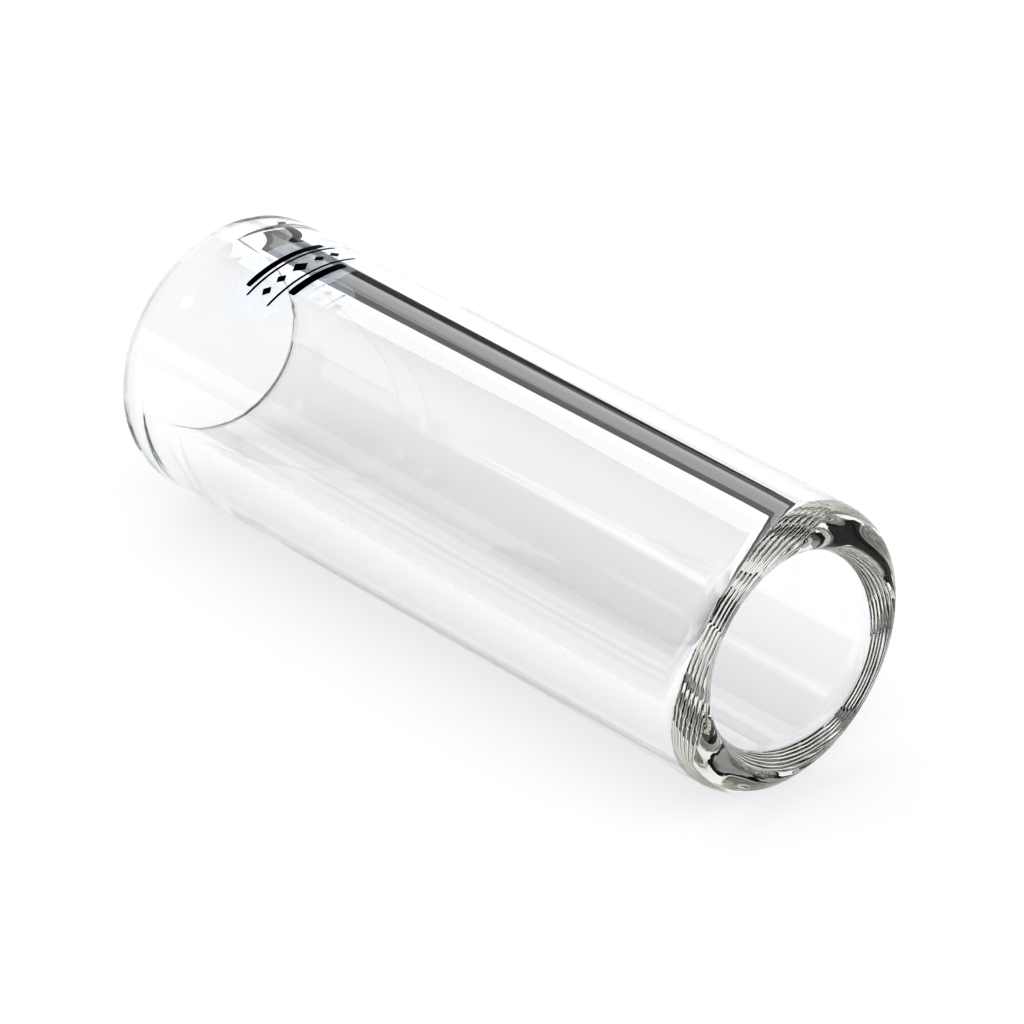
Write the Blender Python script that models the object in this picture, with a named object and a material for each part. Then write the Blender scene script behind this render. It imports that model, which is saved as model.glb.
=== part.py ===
"""A clear glass guitar slide lying on its side: a thick-walled tube with melted-round lips, and an oval film label.

The tube lies along X on the ground plane. The origin is on the ground under the middle of its length, and the label
is near its -X end. Units are metres, +Z is up.
"""

import math

import bmesh
import bpy
from mathutils import Matrix, Vector

# Driving dimensions of the tube
TUBE_LENGTH = 0.0695
BORE_DIAMETER = 0.017
WALL_THICKNESS = 0.004
OUTER_LIP_RADIUS = 0.0021
INNER_LIP_RADIUS = 0.0017
LEAST_END_LAND = 0.0002

# Driving dimensions of the label
LABEL_ARC_LENGTH = 0.0138
LABEL_WIDTH = 0.0078
LABEL_CENTRE_FROM_END = 0.0115
LABEL_TURN = math.radians(5.5)
FILM_THICKNESS = 0.0001
ADHESIVE_GAP = 0.00005

# Facet counts
TURN_STEPS = 64
LIP_STEPS = 10
LABEL_RINGS = 8
LABEL_SPOKES = 56

# Derived sizes
BORE_RADIUS = BORE_DIAMETER / 2
OUTER_RADIUS = BORE_RADIUS + WALL_THICKNESS
HALF_LENGTH = TUBE_LENGTH / 2
HALF_FACET = math.pi / TURN_STEPS
AXIS_HEIGHT = OUTER_RADIUS * math.cos(HALF_FACET)


def clear_scene():
    """Remove every object that the open file holds."""
    for old in list(bpy.data.objects):
        bpy.data.objects.remove(old, do_unlink=True)


def make_material(name, colour, roughness, transmission, ior, alpha):
    """Return a Principled material of one clear substance."""
    material = bpy.data.materials.new(name)
    material.use_nodes = True
    shader = material.node_tree.nodes["Principled BSDF"]
    shader.inputs["Base Color"].default_value = (*colour, 1.0)
    shader.inputs["Roughness"].default_value = roughness
    shader.inputs["Metallic"].default_value = 0.0
    shader.inputs["Transmission Weight"].default_value = transmission
    shader.inputs["IOR"].default_value = ior
    shader.inputs["Alpha"].default_value = alpha
    return material


def add_object(name, mesh, material):
    """Link a mesh to the scene under a node's name, with one material."""
    mesh.materials.append(material)
    piece = bpy.data.objects.new(name, mesh)
    bpy.context.scene.collection.objects.link(piece)
    return piece


def arc(centre_x, centre_z, radius, start, end):
    """Return the points of an arc in the XZ plane, both ends included, with angles in degrees from +X."""
    points = []
    for step in range(LIP_STEPS + 1):
        angle = math.radians(start + (end - start) * step / LIP_STEPS)
        points.append((centre_x + radius * math.cos(angle), 0.0, centre_z + radius * math.sin(angle)))
    return points


def wall_profile():
    """Return the closed section of the wall, down its outer side and back up the bore, with four round lips."""
    fillets = OUTER_LIP_RADIUS + INNER_LIP_RADIUS
    fit = min(1.0, (WALL_THICKNESS - LEAST_END_LAND) / fillets)
    outer_lip = OUTER_LIP_RADIUS * fit
    inner_lip = INNER_LIP_RADIUS * fit
    outer_x = OUTER_RADIUS - outer_lip
    inner_x = BORE_RADIUS + inner_lip
    outer_z = HALF_LENGTH - outer_lip
    inner_z = HALF_LENGTH - inner_lip
    points = arc(outer_x, outer_z, outer_lip, 90, 0)
    points += arc(outer_x, -outer_z, outer_lip, 0, -90)
    points += arc(inner_x, -inner_z, inner_lip, 270, 180)
    points += arc(inner_x, inner_z, inner_lip, 180, 90)
    return points


def build_glass_tube():
    """Turn the wall's section about Z with a Screw modifier, then lay the tube along X with a facet on the ground."""
    points = wall_profile()
    edges = [(i, (i + 1) % len(points)) for i in range(len(points))]
    mesh = bpy.data.meshes.new("glass_tube")
    mesh.from_pydata(points, edges, [])
    glass = make_material("clear_glass", (0.96, 0.98, 0.97), 0.02, 1.0, 1.47, 1.0)
    tube = add_object("glass_tube", mesh, glass)
    screw = tube.modifiers.new("turn", "SCREW")
    screw.axis = "Z"
    screw.angle = math.tau
    screw.steps = TURN_STEPS
    screw.render_steps = TURN_STEPS
    screw.use_merge_vertices = True
    screw.merge_threshold = 0.00001
    screw.use_smooth_shade = True
    lift = Matrix.Translation((0.0, 0.0, AXIS_HEIGHT))
    lay_down = Matrix.Rotation(math.pi / 2, 4, "Y")
    roll = Matrix.Rotation(HALF_FACET, 4, "Z")
    tube.matrix_world = lift @ lay_down @ roll
    return tube


def on_tube(along, around, radius):
    """Wrap a flat place onto the tube: along its axis, and an arc length around it measured from the label's centre."""
    angle = LABEL_TURN + around / OUTER_RADIUS
    x = -HALF_LENGTH + LABEL_CENTRE_FROM_END + along
    return Vector((x, -radius * math.sin(angle), AXIS_HEIGHT + radius * math.cos(angle)))


def add_oval_sheet(mesh, radius):
    """Add one oval sheet of rings and spokes at a radius, and return its faces' outermost ring of vertices."""
    middle = mesh.verts.new(on_tube(0.0, 0.0, radius))
    rings = []
    for ring in range(1, LABEL_RINGS + 1):
        share = ring / LABEL_RINGS
        loop = []
        for spoke in range(LABEL_SPOKES):
            angle = math.tau * spoke / LABEL_SPOKES
            along = share * LABEL_WIDTH / 2 * math.cos(angle)
            around = share * LABEL_ARC_LENGTH / 2 * math.sin(angle)
            loop.append(mesh.verts.new(on_tube(along, around, radius)))
        rings.append(loop)
    for spoke in range(LABEL_SPOKES):
        following = (spoke + 1) % LABEL_SPOKES
        mesh.faces.new((middle, rings[0][spoke], rings[0][following]))
        for inner, outer in zip(rings, rings[1:]):
            mesh.faces.new((inner[spoke], outer[spoke], outer[following], inner[following]))
    return rings[-1]


def build_label_film():
    """Wrap a thin oval film round the tube, clear of the glass by the adhesive's thickness."""
    under = OUTER_RADIUS + ADHESIVE_GAP
    shape = bmesh.new()
    lower_rim = add_oval_sheet(shape, under)
    upper_rim = add_oval_sheet(shape, under + FILM_THICKNESS)
    for spoke in range(LABEL_SPOKES):
        following = (spoke + 1) % LABEL_SPOKES
        shape.faces.new((lower_rim[spoke], lower_rim[following], upper_rim[following], upper_rim[spoke]))
    bmesh.ops.recalc_face_normals(shape, faces=shape.faces)
    mesh = bpy.data.meshes.new("label_film")
    shape.to_mesh(mesh)
    shape.free()
    mesh.shade_smooth()
    mesh.set_sharp_from_angle(angle=math.radians(40))
    film = make_material("label_film", (0.90, 0.92, 0.96), 0.25, 0.0, 1.49, 0.4)
    return add_object("label_film", mesh, film)


def main():
    clear_scene()
    build_glass_tube()
    build_label_film()


main()
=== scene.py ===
"""Looks of a clear glass guitar slide: the drawn tube, its film label and a white photo table."""

import math

import bmesh
import bpy
import numpy as np
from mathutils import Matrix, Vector


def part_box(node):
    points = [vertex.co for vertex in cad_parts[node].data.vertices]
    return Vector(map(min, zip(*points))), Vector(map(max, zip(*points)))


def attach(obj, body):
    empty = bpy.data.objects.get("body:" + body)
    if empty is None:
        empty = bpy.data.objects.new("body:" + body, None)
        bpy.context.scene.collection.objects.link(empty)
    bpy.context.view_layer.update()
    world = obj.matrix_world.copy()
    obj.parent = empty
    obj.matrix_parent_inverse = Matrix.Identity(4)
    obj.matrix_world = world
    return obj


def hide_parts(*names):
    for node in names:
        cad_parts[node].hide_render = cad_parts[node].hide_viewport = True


bl_info = {
    "name": "Glass guitar slide",
    "version": (1, 0, 0),
    "blender": (4, 5, 0),
    "location": "View3D > Sidebar > Slide",
    "description": "Builds a glass slide tube, its film label and a white table around a packed model",
    "category": "Object",
}

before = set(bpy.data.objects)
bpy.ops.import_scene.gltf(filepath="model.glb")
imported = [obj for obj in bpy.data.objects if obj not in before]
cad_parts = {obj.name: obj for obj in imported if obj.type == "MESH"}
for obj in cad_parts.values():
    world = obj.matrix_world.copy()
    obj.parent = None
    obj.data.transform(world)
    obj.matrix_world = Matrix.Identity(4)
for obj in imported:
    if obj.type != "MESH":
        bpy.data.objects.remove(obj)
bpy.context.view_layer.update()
TUBE_LOW, TUBE_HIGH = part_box("glass_tube")
LABEL_LOW, LABEL_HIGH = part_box("label_film")
TUBE_LENGTH = TUBE_HIGH.x - TUBE_LOW.x
TUBE_RADIUS = (TUBE_HIGH.z - TUBE_LOW.z) / 2
TUBE_CENTRE = (TUBE_LOW + TUBE_HIGH) / 2
LABEL_WIDTH = LABEL_HIGH.x - LABEL_LOW.x
LABEL_X = (LABEL_LOW.x + LABEL_HIGH.x) / 2

# The camera's focal length and the picture's side, both in pixels
FOCAL_PIXELS = 6000
PICTURE_SIDE = 1024

# Steps of the meshes
LIP_STEPS = 30
WALL_STEPS = 24
TURN_STEPS = 480
FILM_RINGS = 24
FILM_SPOKES = 160
PRINT_RINGS = 8
PRINT_SPOKES = 96
GROUND_STEPS = 97
PANEL_STEPS = 25

# The waves that drawing left round the tube: how many sines, the range of their turns, and their weights
WAVE_COUNT = 14
WAVE_LEAST_TURNS = 7
WAVE_END_TURNS = 64
WAVE_LEAST_WEIGHT = 0.3
WAVE_FADE_TURNS = 12
OUTER_SEED = 3
BORE_SEED = 8
DRIFT_TURN = 0.7

# Powers of a pillow's outline, the share of it that the round edge takes, and the gap that closes its poles
OVAL = 2.0
LOZENGE = 1.0
BAR = 9.0
EDGE_SHARE = 0.03
MERGE_GAP = 1e-7

# How much lighter the ink is where it is marked
MARKED_INK = 2.2

# The stage: the table's half side, the camera's sensor and nearest distance, and bounces inside the glass
TABLE_REACH = 3.0
SENSOR_WIDTH = 36.0
NEAREST_SEEN = 0.01
GLASS_BOUNCES = 200


def length(name, description, default):
    """A length property in metres."""
    return bpy.props.FloatProperty(
        name=name, description=description, default=default, min=0.0, unit="LENGTH", precision=5
    )


def angle(name, description, degrees):
    """An angle property whose default is given in degrees."""
    return bpy.props.FloatProperty(
        name=name, description=description, default=math.radians(degrees), subtype="ANGLE"
    )


def colour(name, description, default):
    """A linear colour property."""
    return bpy.props.FloatVectorProperty(
        name=name, description=description, default=default, size=3, min=0.0, max=1.0, subtype="COLOR"
    )


class SlideTubeSizes(bpy.types.PropertyGroup):
    """Sizes and finish of the glass tube."""

    bore_diameter: length("Bore", "Inside diameter, which a finger goes into", 0.017)
    outer_lip: length("Outer lip", "How far in from the outside melting rounded each end", 0.0021)
    outer_depth: length("Outer lip depth", "How far along the outside that rounding runs", 0.0021)
    inner_lip: length("Inner lip", "How far out from the bore melting rounded each end", 0.0017)
    inner_depth: length("Inner lip depth", "How far along the bore that rounding runs", 0.0017)
    draw_depth: length("Draw lines", "Height of the faint lines that drawing left along it", 0.000002)
    wall_drift: length("Wall drift", "How far the bore lies to one side of the tube's middle", 0.00003)
    refraction: bpy.props.FloatProperty(
        name="IOR", description="Index of refraction of the glass", default=1.472
    )
    tint: colour("Tint", "Colour left after a long way through the wall", (0.60, 0.63, 0.50))
    tint_density: bpy.props.FloatProperty(
        name="Tint density", description="Absorption of the glass, per metre", default=4.0, min=0.0
    )


class SlideLabelSizes(bpy.types.PropertyGroup):
    """Sizes and colours of the film label and its print."""

    arc_length: length("Length", "Length of the oval film, round the tube", 0.0138)
    turn: angle("Turn", "Turn of the label's middle about the axis, from the top towards the front", 5.5)
    film_thickness: length("Film", "Thickness of the film", 0.0001)
    adhesive: length("Adhesive", "Thickness of the clear adhesive under the film", 0.00005)
    ink_thickness: length("Ink", "Height of the printed ink above the film", 0.00002)
    film_colour: colour("Film colour", "Colour of the slightly milky film", (0.86, 0.91, 1.0))
    ink_colour: colour("Ink colour", "Colour of the printed marks", (0.012, 0.012, 0.014))


class SlideStageSizes(bpy.types.PropertyGroup):
    """Camera and light of the white table."""

    azimuth: angle("Azimuth", "Camera direction round the slide, from the front", 47.29)
    elevation: angle("Elevation", "Camera height above the table, as an angle", 30.31)
    distance: length("Distance", "Distance from the camera to the slide", 0.4949)
    aim_right: length("Aim right", "How far the camera aims to the right of the tube's middle", 0.00115)
    aim_down: length("Aim down", "How far the camera aims below the tube's middle", 0.00151)
    focal_length: bpy.props.FloatProperty(
        name="Focal length",
        description="Focal length in picture widths",
        default=FOCAL_PIXELS / PICTURE_SIDE,
    )
    daylight: bpy.props.FloatProperty(
        name="Daylight", description="Strength of the even white light", default=1.16, min=0.0
    )
    daylight_colour: colour("Daylight colour", "Colour of the even light, slightly cool", (0.978, 0.984, 1.0))
    black_point: bpy.props.FloatProperty(
        name="Black point",
        description="Linear tone that the finished picture shows as black",
        default=0.06,
        min=0.0,
    )
    gamma: bpy.props.FloatProperty(
        name="Gamma",
        description="Gamma of the finished picture, under 1 for more contrast",
        default=0.75,
        min=0.1,
    )


def grid_faces(rows, columns):
    """Return the quads of a grid whose last row and last column join on to its first ones."""
    row = np.arange(rows)[:, None]
    column = np.arange(columns)[None, :]
    next_row = (row + 1) % rows
    next_column = (column + 1) % columns
    corners = (
        row * columns + column,
        next_row * columns + column,
        next_row * columns + next_column,
        row * columns + next_column,
    )
    return np.stack([np.broadcast_to(c, (rows, columns)) for c in corners], axis=-1).reshape(-1, 4)


def add_piece(name, points, faces, material):
    """Put numpy points and quads into a smooth mesh object at the origin, riding on the slide's one body."""
    mesh = bpy.data.meshes.new(name)
    mesh.vertices.add(len(points))
    mesh.vertices.foreach_set("co", points.astype(np.float32).ravel())
    mesh.loops.add(faces.size)
    mesh.loops.foreach_set("vertex_index", faces.astype(np.int32).ravel())
    mesh.polygons.add(len(faces))
    mesh.polygons.foreach_set("loop_start", np.arange(0, faces.size, 4, dtype=np.int32))
    mesh.update(calc_edges=True)
    mesh.validate()
    mesh.shade_smooth()
    mesh.materials.append(material)
    piece = bpy.data.objects.new(name, mesh)
    bpy.context.scene.collection.objects.link(piece)
    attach(piece, "root")
    return piece


def lip_arc(centre_radius, centre_x, lip, depth, start, end, steps):
    """Return radius and x along a quarter ellipse, evenly stepped in angle, without its last point."""
    turn = np.radians(np.linspace(start, end, steps, endpoint=False))
    return np.stack([centre_radius + lip * np.sin(turn), centre_x + depth * np.cos(turn)], axis=1)


def straight(radius, start_x, end_x, steps):
    """Return radius and x along a straight wall, evenly stepped, without its last point."""
    return np.stack([np.full(steps, radius), np.linspace(start_x, end_x, steps, endpoint=False)], axis=1)


def tube_section(sizes):
    """Return the closed section of the wall: outer wall, far lip, bore and near lip, as radius and x.

    Each end is two quarter ellipses, one on each face of the wall, with a narrow land between them.
    """
    outer = TUBE_RADIUS
    bore = sizes.bore_diameter / 2
    half = TUBE_LENGTH / 2
    outer_centre = outer - sizes.outer_lip
    inner_centre = bore + sizes.inner_lip
    outer_end = half - sizes.outer_depth
    inner_end = half - sizes.inner_depth
    return np.concatenate(
        [
            straight(outer, outer_end, -outer_end, WALL_STEPS),
            lip_arc(outer_centre, -outer_end, sizes.outer_lip, sizes.outer_depth, 90, 180, LIP_STEPS),
            straight(outer_centre, -half, -half, 1),
            lip_arc(inner_centre, -inner_end, sizes.inner_lip, sizes.inner_depth, 180, 270, LIP_STEPS),
            straight(bore, -inner_end, inner_end, WALL_STEPS),
            lip_arc(inner_centre, inner_end, sizes.inner_lip, sizes.inner_depth, 270, 360, LIP_STEPS),
            straight(inner_centre, half, half, 1),
            lip_arc(outer_centre, outer_end, sizes.outer_lip, sizes.outer_depth, 0, 90, LIP_STEPS),
        ]
    )


def draw_lines(turn, seed):
    """Return a wave round the tube in -1 to 1: a sum of sines of seeded frequency and phase."""
    chance = np.random.default_rng(seed)
    frequency = chance.integers(WAVE_LEAST_TURNS, WAVE_END_TURNS, WAVE_COUNT)[:, None]
    phase = chance.uniform(0, math.tau, WAVE_COUNT)[:, None]
    fade = WAVE_FADE_TURNS / (WAVE_FADE_TURNS + frequency)
    weight = chance.uniform(WAVE_LEAST_WEIGHT, 1.0, WAVE_COUNT)[:, None] * fade
    wave = (weight * np.sin(frequency * turn[None, :] + phase)).sum(axis=0)
    return wave / np.abs(wave).max()


def tube_surface(sizes, turns):
    """Carry the wall's section round the axis: y and z are its radius times the turn's cosine and sine.

    The outer wall and the bore each carry their own draw lines, and the bore lies a little to one side.
    """
    section = tube_section(sizes)
    turn = np.linspace(0, math.tau, turns, endpoint=False)
    middle = (sizes.bore_diameter / 2 + TUBE_RADIUS) / 2
    outside = np.clip((section[:, :1] - middle) / (TUBE_RADIUS - middle), -1, 1)
    outer_wave = draw_lines(turn, OUTER_SEED)[None, :] * np.clip(outside, 0, 1)
    bore_wave = draw_lines(turn, BORE_SEED)[None, :] * np.clip(-outside, 0, 1)
    drift = np.cos(turn - DRIFT_TURN)[None, :] * np.clip(-outside, 0, 1)
    radius = section[:, :1] + sizes.draw_depth * (outer_wave + bore_wave) + sizes.wall_drift * drift
    x = np.broadcast_to(section[:, 1:], radius.shape)
    points = np.stack(
        [TUBE_CENTRE.x + x, TUBE_CENTRE.y + radius * np.cos(turn), TUBE_CENTRE.z + radius * np.sin(turn)],
        axis=-1,
    )
    return points.reshape(-1, 3), grid_faces(len(section), turns)


def on_label(label, along, around, radius):
    """Wrap flat places onto a cylinder about the axis, arc lengths measured from the label's middle."""
    turn = label.turn + around / TUBE_RADIUS
    return np.stack(
        [
            LABEL_X + along,
            TUBE_CENTRE.y - radius * np.sin(turn),
            TUBE_CENTRE.z + radius * np.cos(turn),
        ],
        axis=-1,
    )


def pillow(label, centre, half_size, power, base, height, rings, spokes):
    """Return a thin closed pillow on the tube: a superellipse outline, flat below and round-edged above.

    Its outline is |u/a|^p + |v/b|^p = 1: an oval at power 2, a lozenge at 1 and a bar at 9. Going round the
    section, the ring's share rises from the middle of the underside to the rim and falls back over the top.
    """
    turn_edge = np.linspace(0, math.pi / 2, rings)
    share_below = np.linspace(0.0, 1.0, rings)
    share_edge = 1 - EDGE_SHARE * (1 - np.cos(turn_edge))
    share_above = np.linspace(1 - EDGE_SHARE, 0.0, rings)[1:]
    share = np.concatenate([share_below, share_edge, share_above])
    lift = np.concatenate([np.zeros(rings), np.sin(turn_edge), np.ones(rings - 1)])
    turn = np.linspace(0, math.tau, spokes, endpoint=False)
    reach = (np.abs(np.cos(turn)) ** power + np.abs(np.sin(turn)) ** power) ** (-1 / power)
    along = centre[0] + half_size[0] * share[:, None] * (reach * np.cos(turn))[None, :]
    around = centre[1] + half_size[1] * share[:, None] * (reach * np.sin(turn))[None, :]
    radius = np.broadcast_to((base + height * lift)[:, None], along.shape)
    points = on_label(label, along, around, radius)
    rows = len(share)
    faces = grid_faces(rows, spokes)[: (rows - 1) * spokes]
    return points.reshape(-1, 3), faces


def merge_ends(piece):
    """Close the two poles of a pillow, where a whole ring sits on one point, and point its faces outwards."""
    shape = bmesh.new()
    shape.from_mesh(piece.data)
    bmesh.ops.remove_doubles(shape, verts=shape.verts, dist=MERGE_GAP)
    bmesh.ops.recalc_face_normals(shape, faces=shape.faces)
    shape.to_mesh(piece.data)
    shape.free()
    piece.data.shade_smooth()


def new_material(name):
    """Return a material with nodes, its node tree, its Principled shader and its output."""
    material = bpy.data.materials.new(name)
    material.use_nodes = True
    tree = material.node_tree
    return material, tree, tree.nodes["Principled BSDF"], tree.nodes["Material Output"]


def handling_group():
    """Build the node group of handling marks once: soft smudges times finer grain, from 0 to 1."""
    if "Handling marks" in bpy.data.node_groups:
        return bpy.data.node_groups["Handling marks"]
    group = bpy.data.node_groups.new("Handling marks", "ShaderNodeTree")
    group.interface.new_socket("Smudge Scale", in_out="INPUT", socket_type="NodeSocketFloat")
    group.interface.new_socket("Grain Scale", in_out="INPUT", socket_type="NodeSocketFloat")
    group.interface.new_socket("Mask", in_out="OUTPUT", socket_type="NodeSocketFloat")
    nodes, links = group.nodes, group.links
    socket_in = nodes.new("NodeGroupInput")
    socket_out = nodes.new("NodeGroupOutput")
    place = nodes.new("ShaderNodeTexCoord")
    smudge = nodes.new("ShaderNodeTexNoise")
    smudge.inputs["Detail"].default_value = 3.0
    grain = nodes.new("ShaderNodeTexNoise")
    grain.inputs["Detail"].default_value = 6.0
    patch = nodes.new("ShaderNodeMapRange")
    patch.inputs["From Min"].default_value = 0.5
    patch.inputs["From Max"].default_value = 0.75
    mixed = nodes.new("ShaderNodeMath")
    mixed.operation = "MULTIPLY"
    links.new(place.outputs["Object"], smudge.inputs["Vector"])
    links.new(place.outputs["Object"], grain.inputs["Vector"])
    links.new(socket_in.outputs["Smudge Scale"], smudge.inputs["Scale"])
    links.new(socket_in.outputs["Grain Scale"], grain.inputs["Scale"])
    links.new(smudge.outputs["Fac"], patch.inputs["Value"])
    links.new(patch.outputs["Result"], mixed.inputs[0])
    links.new(grain.outputs["Fac"], mixed.inputs[1])
    links.new(mixed.outputs["Value"], socket_out.inputs["Mask"])
    return group


def add_handling(tree, shader, smudge_scale, grain_scale, clean, marked):
    """Let handling marks raise a shader's roughness from its clean value to its marked one."""
    marks = tree.nodes.new("ShaderNodeGroup")
    marks.node_tree = handling_group()
    marks.inputs["Smudge Scale"].default_value = smudge_scale
    marks.inputs["Grain Scale"].default_value = grain_scale
    rough = tree.nodes.new("ShaderNodeMapRange")
    rough.inputs["To Min"].default_value = clean
    rough.inputs["To Max"].default_value = marked
    tree.links.new(marks.outputs["Mask"], rough.inputs["Value"])
    tree.links.new(rough.outputs["Result"], shader.inputs["Roughness"])
    return marks


def glass_material(sizes):
    """Clear drawn glass: sharp, a little yellow-green in its depth, with faint handling marks."""
    material, tree, shader, output = new_material("drawn_clear_glass")
    shader.inputs["Base Color"].default_value = (1.0, 1.0, 1.0, 1.0)
    shader.inputs["Transmission Weight"].default_value = 1.0
    shader.inputs["IOR"].default_value = sizes.refraction
    add_handling(tree, shader, smudge_scale=90.0, grain_scale=900.0, clean=0.0, marked=0.004)
    body = tree.nodes.new("ShaderNodeVolumeAbsorption")
    body.inputs["Color"].default_value = (*sizes.tint, 1.0)
    body.inputs["Density"].default_value = sizes.tint_density
    tree.links.new(body.outputs["Volume"], output.inputs["Volume"])
    return material


def film_material(label):
    """Thin clear label film: see-through, slightly milky blue, glossy, with a fine cloud in it."""
    material, tree, shader, _ = new_material("milky_label_film")
    shader.inputs["Base Color"].default_value = (*label.film_colour, 1.0)
    shader.inputs["IOR"].default_value = 1.49
    add_handling(tree, shader, smudge_scale=400.0, grain_scale=4000.0, clean=0.12, marked=0.35)
    place = tree.nodes.new("ShaderNodeTexCoord")
    cloud = tree.nodes.new("ShaderNodeTexNoise")
    cloud.inputs["Scale"].default_value = 900.0
    cloud.inputs["Detail"].default_value = 4.0
    haze = tree.nodes.new("ShaderNodeMapRange")
    haze.inputs["To Min"].default_value = 0.08
    haze.inputs["To Max"].default_value = 0.20
    tree.links.new(place.outputs["Object"], cloud.inputs["Vector"])
    tree.links.new(cloud.outputs["Fac"], haze.inputs["Value"])
    tree.links.new(haze.outputs["Result"], shader.inputs["Alpha"])
    return material


def ink_material(label):
    """Black screen ink with a fine uneven gloss."""
    material, tree, shader, _ = new_material("black_label_ink")
    shader.inputs["Base Color"].default_value = (*label.ink_colour, 1.0)
    shader.inputs["Specular IOR Level"].default_value = 0.2
    marks = add_handling(tree, shader, smudge_scale=1200.0, grain_scale=9000.0, clean=0.35, marked=0.6)
    shade = tree.nodes.new("ShaderNodeMix")
    shade.data_type = "RGBA"
    shade.inputs["A"].default_value = (*label.ink_colour, 1.0)
    shade.inputs["B"].default_value = (*(MARKED_INK * c for c in label.ink_colour), 1.0)
    tree.links.new(marks.outputs["Mask"], shade.inputs["Factor"])
    tree.links.new(shade.outputs["Result"], shader.inputs["Base Color"])
    return material


def table_material():
    """Matt white table paper with the faintest tooth."""
    material, tree, shader, _ = new_material("white_table_paper")
    shader.inputs["Base Color"].default_value = (0.93, 0.93, 0.93, 1.0)
    shader.inputs["Specular IOR Level"].default_value = 0.0
    add_handling(tree, shader, smudge_scale=3.0, grain_scale=300.0, clean=0.8, marked=0.95)
    return material


def card_material(name, tone, wall_only):
    """A self-lit card of one grey, as the camera sees it in the glass.

    Light on its way to the table through the glass mostly passes it, so that the table stays white round the
    slide. A wall-only card shows just to light that goes into the glass and out again once.
    """
    material = bpy.data.materials.new(name)
    material.use_nodes = True
    tree = material.node_tree
    tree.nodes.remove(tree.nodes["Principled BSDF"])
    glow = tree.nodes.new("ShaderNodeEmission")
    glow.inputs["Color"].default_value = (tone, tone, tone, 1.0)
    clear = tree.nodes.new("ShaderNodeBsdfTransparent")
    path = tree.nodes.new("ShaderNodeLightPath")
    mix = tree.nodes.new("ShaderNodeMixShader")
    passed = tree.nodes.new("ShaderNodeMath")
    passed.operation = "MULTIPLY"
    passed.use_clamp = True
    passed.inputs[1].default_value = CARD_PASSES_TABLE
    tree.links.new(path.outputs["Diffuse Depth"], passed.inputs[0])
    tree.links.new(passed.outputs["Value"], mix.inputs["Fac"])
    if wall_only:
        once = tree.nodes.new("ShaderNodeMath")
        once.operation = "COMPARE"
        once.inputs[1].default_value = DEPTH_ONCE
        once.inputs[2].default_value = DEPTH_MARGIN
        other = tree.nodes.new("ShaderNodeMath")
        other.operation = "SUBTRACT"
        other.inputs[0].default_value = 1.0
        most = tree.nodes.new("ShaderNodeMath")
        most.operation = "MAXIMUM"
        tree.links.new(path.outputs["Transmission Depth"], once.inputs[0])
        tree.links.new(once.outputs["Value"], other.inputs[1])
        tree.links.new(other.outputs["Value"], most.inputs[0])
        tree.links.new(passed.outputs["Value"], most.inputs[1])
        tree.links.new(most.outputs["Value"], mix.inputs["Fac"])
    tree.links.new(glow.outputs["Emission"], mix.inputs[1])
    tree.links.new(clear.outputs["BSDF"], mix.inputs[2])
    tree.links.new(mix.outputs["Shader"], tree.nodes["Material Output"].inputs["Surface"])
    return material


class SLIDE_OT_glass_tube(bpy.types.Operator):
    """Build the drawn glass tube with its melted lips"""

    bl_idname = "slide.glass_tube"
    bl_label = "Glass tube"

    def execute(self, context):
        sizes = context.scene.slide_tube
        points, faces = tube_surface(sizes, TURN_STEPS)
        tube = add_piece("drawn_tube", points, faces, glass_material(sizes))
        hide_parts("glass_tube")
        return {"FINISHED"}


class SLIDE_OT_label_film(bpy.types.Operator):
    """Build the oval film label, wrapped round the tube"""

    bl_idname = "slide.label_film"
    bl_label = "Label film"

    def execute(self, context):
        label = context.scene.slide_label
        half_size = (LABEL_WIDTH / 2, label.arc_length / 2)
        base = TUBE_RADIUS + label.adhesive
        points, faces = pillow(
            label, (0, 0), half_size, OVAL, base, label.film_thickness, FILM_RINGS, FILM_SPOKES
        )
        film = add_piece("oval_film", points, faces, film_material(label))
        merge_ends(film)
        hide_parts("label_film")
        return {"FINISHED"}


# The print's marks: along the tube and round it from the label's middle, half sizes the same way, and power
PRINT_MARKS = (
    ((-0.0019, 0.0), (0.00030, 0.0042), BAR),
    ((-0.0012, 0.0), (0.00010, 0.0050), BAR),
    ((0.0001, 0.0), (0.00062, 0.00085), LOZENGE),
    ((0.0001, 0.0021), (0.00042, 0.00055), LOZENGE),
    ((0.0001, -0.0021), (0.00042, 0.00055), LOZENGE),
    ((0.0001, 0.0038), (0.00042, 0.00055), LOZENGE),
    ((0.0001, -0.0038), (0.00042, 0.00055), LOZENGE),
    ((0.0014, 0.0), (0.00010, 0.0050), BAR),
    ((0.0023, 0.0), (0.00042, 0.0030), BAR),
)


class SLIDE_OT_label_print(bpy.types.Operator):
    """Print plain rules and lozenges on the label film"""

    bl_idname = "slide.label_print"
    bl_label = "Label print"

    def execute(self, context):
        label = context.scene.slide_label
        base = TUBE_RADIUS + label.adhesive + label.film_thickness
        shapes = [
            pillow(label, centre, half_size, power, base, label.ink_thickness, PRINT_RINGS, PRINT_SPOKES)
            for centre, half_size, power in PRINT_MARKS
        ]
        starts = np.cumsum([0] + [len(points) for points, _ in shapes])
        points = np.concatenate([points for points, _ in shapes])
        faces = np.concatenate([faces + start for (_, faces), start in zip(shapes, starts)])
        ink = add_piece("plain_print", points, faces, ink_material(label))
        merge_ends(ink)
        return {"FINISHED"}


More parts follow.
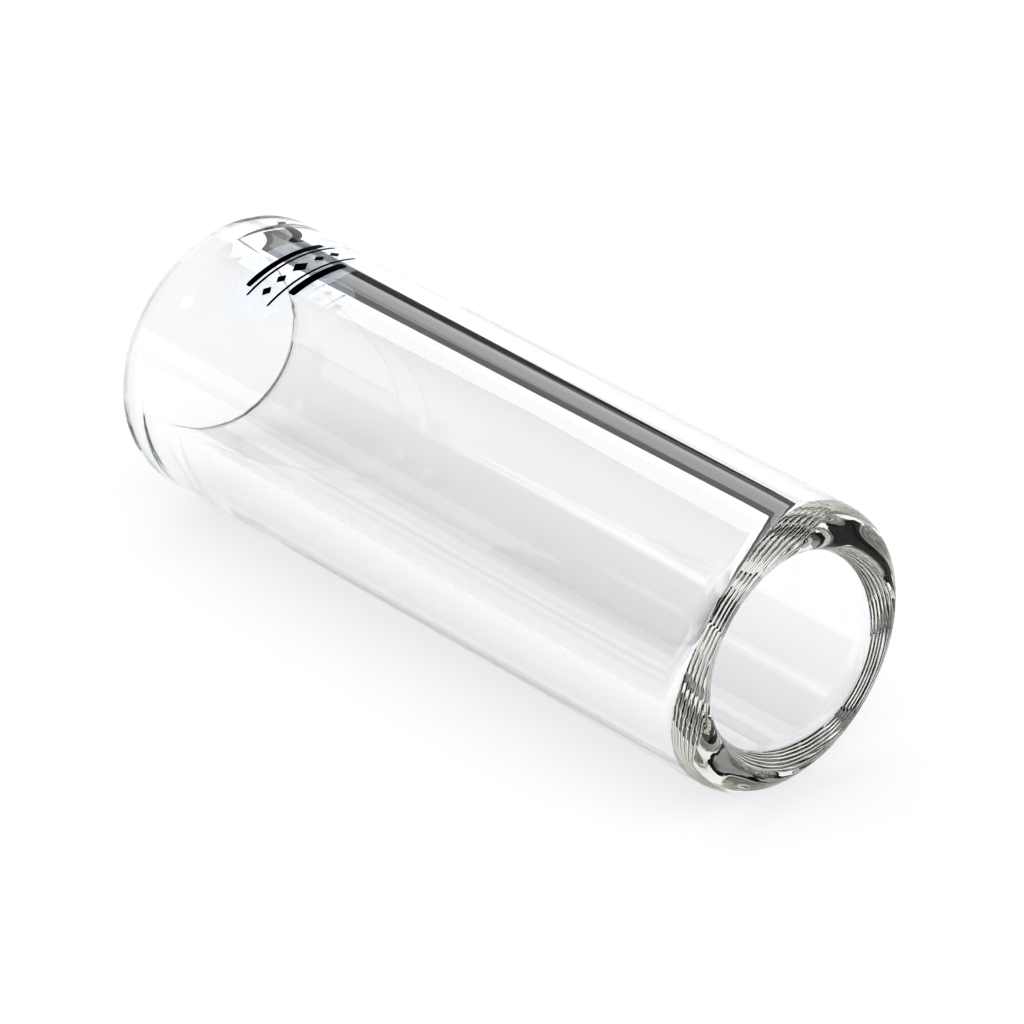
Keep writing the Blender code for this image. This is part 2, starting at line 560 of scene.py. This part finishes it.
def add_stage_sheet(name, points, material):
    """Add a sheet to the stage from a grid of points, with a quad between each four neighbours."""
    rows, columns = points.shape[:2]
    row, column = np.meshgrid(np.arange(rows - 1), np.arange(columns - 1), indexing="ij")
    corner = row * columns + column
    faces = np.stack([corner, corner + 1, corner + columns + 1, corner + columns], axis=-1)
    mesh = bpy.data.meshes.new(name)
    mesh.from_pydata(points.reshape(-1, 3).tolist(), [], faces.reshape(-1, 4).tolist())
    mesh.materials.append(material)
    sheet = bpy.data.objects.new(name, mesh)
    bpy.context.scene.collection.objects.link(sheet)
    return sheet


def add_card(name, points, tone, wall_only):
    """Add a card that only the glass sees: hidden from the camera and the table, and without a shadow."""
    card = add_stage_sheet(name, points, card_material(name, tone, wall_only))
    card.visible_camera = False
    card.visible_diffuse = False
    card.visible_shadow = False


# Panels round the table that only the glass sees: azimuth to the right of the camera's forward direction and
# elevation, both from and to in degrees, then tone, and whether the card is wall-only
PANELS = (
    ("ceiling", -180, 180, 52, 90, 0.30, False),
    ("horizon_low", -180, 40, -3, 3, 0.45, True),
    ("horizon_high", -180, 40, 3, 15, 0.38, True),
    ("horizon_dark", -180, 40, 15, 21, 0.20, False),
    ("camera_side", 95, 265, -2, 88, 0.22, False),
    ("left_grey", -110, -60, 18, 42, 0.12, False),
    ("left_black", -78, -42, 0, 36, 0.01, False),
    ("high_black", -75, -5, 38, 60, 0.01, False),
)
PANEL_DISTANCE = 0.6
PANEL_STEP = 0.01
GROUND_NEAR = 0.125
GROUND_FAR = 0.62
GROUND_LIFT = 0.0006
GROUND_TONE = 0.004

# The share of a card that light from the table passes, and the Transmission Depth of light once in and out
CARD_PASSES_TABLE = 0.73
DEPTH_ONCE = 2.0
DEPTH_MARGIN = 0.5


def turned_about(turn, forward, right):
    """Return level directions turned from forward towards the right: cosine of forward plus sine of right."""
    return np.cos(turn)[..., None] * np.array(forward) + np.sin(turn)[..., None] * np.array(right)


def ground_ring(forward, right):
    """Return the grid of a flat ring round the slide, between two radii and just above the table."""
    turns = np.radians(np.linspace(-180, 180, GROUND_STEPS))
    radius, turn = np.meshgrid((GROUND_NEAR, GROUND_FAR), turns, indexing="ij")
    return radius[..., None] * turned_about(turn, forward, right) + np.array((0.0, 0.0, GROUND_LIFT))


def panel_grid(azimuths, elevations, distance, forward, right):
    """Return the grid of a panel bent round the slide: points of a sphere between azimuths and elevations."""
    azimuth, elevation = np.meshgrid(
        np.radians(np.linspace(*azimuths, PANEL_STEPS)),
        np.radians(np.linspace(*elevations, PANEL_STEPS)),
        indexing="ij",
    )
    level = np.cos(elevation)[..., None] * turned_about(azimuth, forward, right)
    upward = np.sin(elevation)[..., None] * np.array((0.0, 0.0, 1.0))
    return np.array(TUBE_CENTRE) + distance * (level + upward)


class SLIDE_OT_stage(bpy.types.Operator):
    """Lay the white table, light it evenly, stand the grey cards round it and place the camera"""

    bl_idname = "slide.stage"
    bl_label = "White table"

    def execute(self, context):
        stage = context.scene.slide_stage
        scene = context.scene
        reach = np.array((-TABLE_REACH, TABLE_REACH))
        across, along = np.meshgrid(reach, reach)
        add_stage_sheet("table", np.stack([across, along, np.zeros((2, 2))], axis=-1), table_material())

        world = bpy.data.worlds.new("even_daylight")
        world.use_nodes = True
        sky = world.node_tree.nodes["Background"]
        sky.inputs["Color"].default_value = (*stage.daylight_colour, 1.0)
        sky.inputs["Strength"].default_value = stage.daylight
        scene.world = world

        side = Vector((math.sin(stage.azimuth), -math.cos(stage.azimuth), 0.0))
        forward = -side
        right = Vector((math.cos(stage.azimuth), math.sin(stage.azimuth), 0.0))
        back = side * math.cos(stage.elevation) + Vector((0, 0, math.sin(stage.elevation)))
        up = right.cross(-back)

        add_card("dark_ground", ground_ring(forward, right), GROUND_TONE, True)
        for order, (name, az_from, az_to, el_from, el_to, tone, wall_only) in enumerate(PANELS):
            distance = PANEL_DISTANCE - PANEL_STEP * order
            points = panel_grid((az_from, az_to), (el_from, el_to), distance, forward, right)
            add_card(name, points, tone, wall_only)

        lens = bpy.data.cameras.new("camera")
        lens.sensor_width = SENSOR_WIDTH
        lens.lens = lens.sensor_width * stage.focal_length
        lens.clip_start = NEAREST_SEEN
        camera = bpy.data.objects.new("camera", lens)
        aim = TUBE_CENTRE + right * stage.aim_right - up * stage.aim_down
        camera.location = aim + back * stage.distance
        camera.rotation_mode = "QUATERNION"
        camera.rotation_quaternion = (-back).to_track_quat("-Z", "Y")
        scene.collection.objects.link(camera)
        scene.camera = camera

        scene.view_settings.view_transform = "Standard"
        scene.view_settings.gamma = stage.gamma
        scene.view_settings.use_curve_mapping = True
        scene.view_settings.curve_mapping.black_level = (stage.black_point,) * 3
        scene.view_settings.curve_mapping.update()
        scene.cycles.max_bounces = GLASS_BOUNCES
        scene.cycles.transmission_bounces = GLASS_BOUNCES
        scene.cycles.glossy_bounces = GLASS_BOUNCES
        scene.cycles.blur_glossy = 0.0
        return {"FINISHED"}


class SLIDE_PT_panel(bpy.types.Panel):
    """List the slide's pieces and their sizes"""

    bl_idname = "SLIDE_PT_panel"
    bl_label = "Glass slide"
    bl_space_type = "VIEW_3D"
    bl_region_type = "UI"
    bl_category = "Slide"

    def draw(self, context):
        for operator in OPERATORS:
            self.layout.operator(operator.bl_idname)
        for group in GROUPS:
            box = self.layout.box()
            for name in group.__annotations__:
                box.prop(getattr(context.scene, GROUPS[group]), name)


GROUPS = {
    SlideTubeSizes: "slide_tube",
    SlideLabelSizes: "slide_label",
    SlideStageSizes: "slide_stage",
}
OPERATORS = (SLIDE_OT_glass_tube, SLIDE_OT_label_film, SLIDE_OT_label_print, SLIDE_OT_stage)


def register():
    for group, name in GROUPS.items():
        bpy.utils.register_class(group)
        setattr(bpy.types.Scene, name, bpy.props.PointerProperty(type=group))
    for operator in OPERATORS:
        bpy.utils.register_class(operator)
    bpy.utils.register_class(SLIDE_PT_panel)


def unregister():
    bpy.utils.unregister_class(SLIDE_PT_panel)
    for operator in reversed(OPERATORS):
        bpy.utils.unregister_class(operator)
    for group, name in GROUPS.items():
        delattr(bpy.types.Scene, name)
        bpy.utils.unregister_class(group)


def main():
    register()
    bpy.ops.slide.glass_tube()
    bpy.ops.slide.label_film()
    bpy.ops.slide.label_print()
    bpy.ops.slide.stage()


if __name__ == "__main__":
    main()
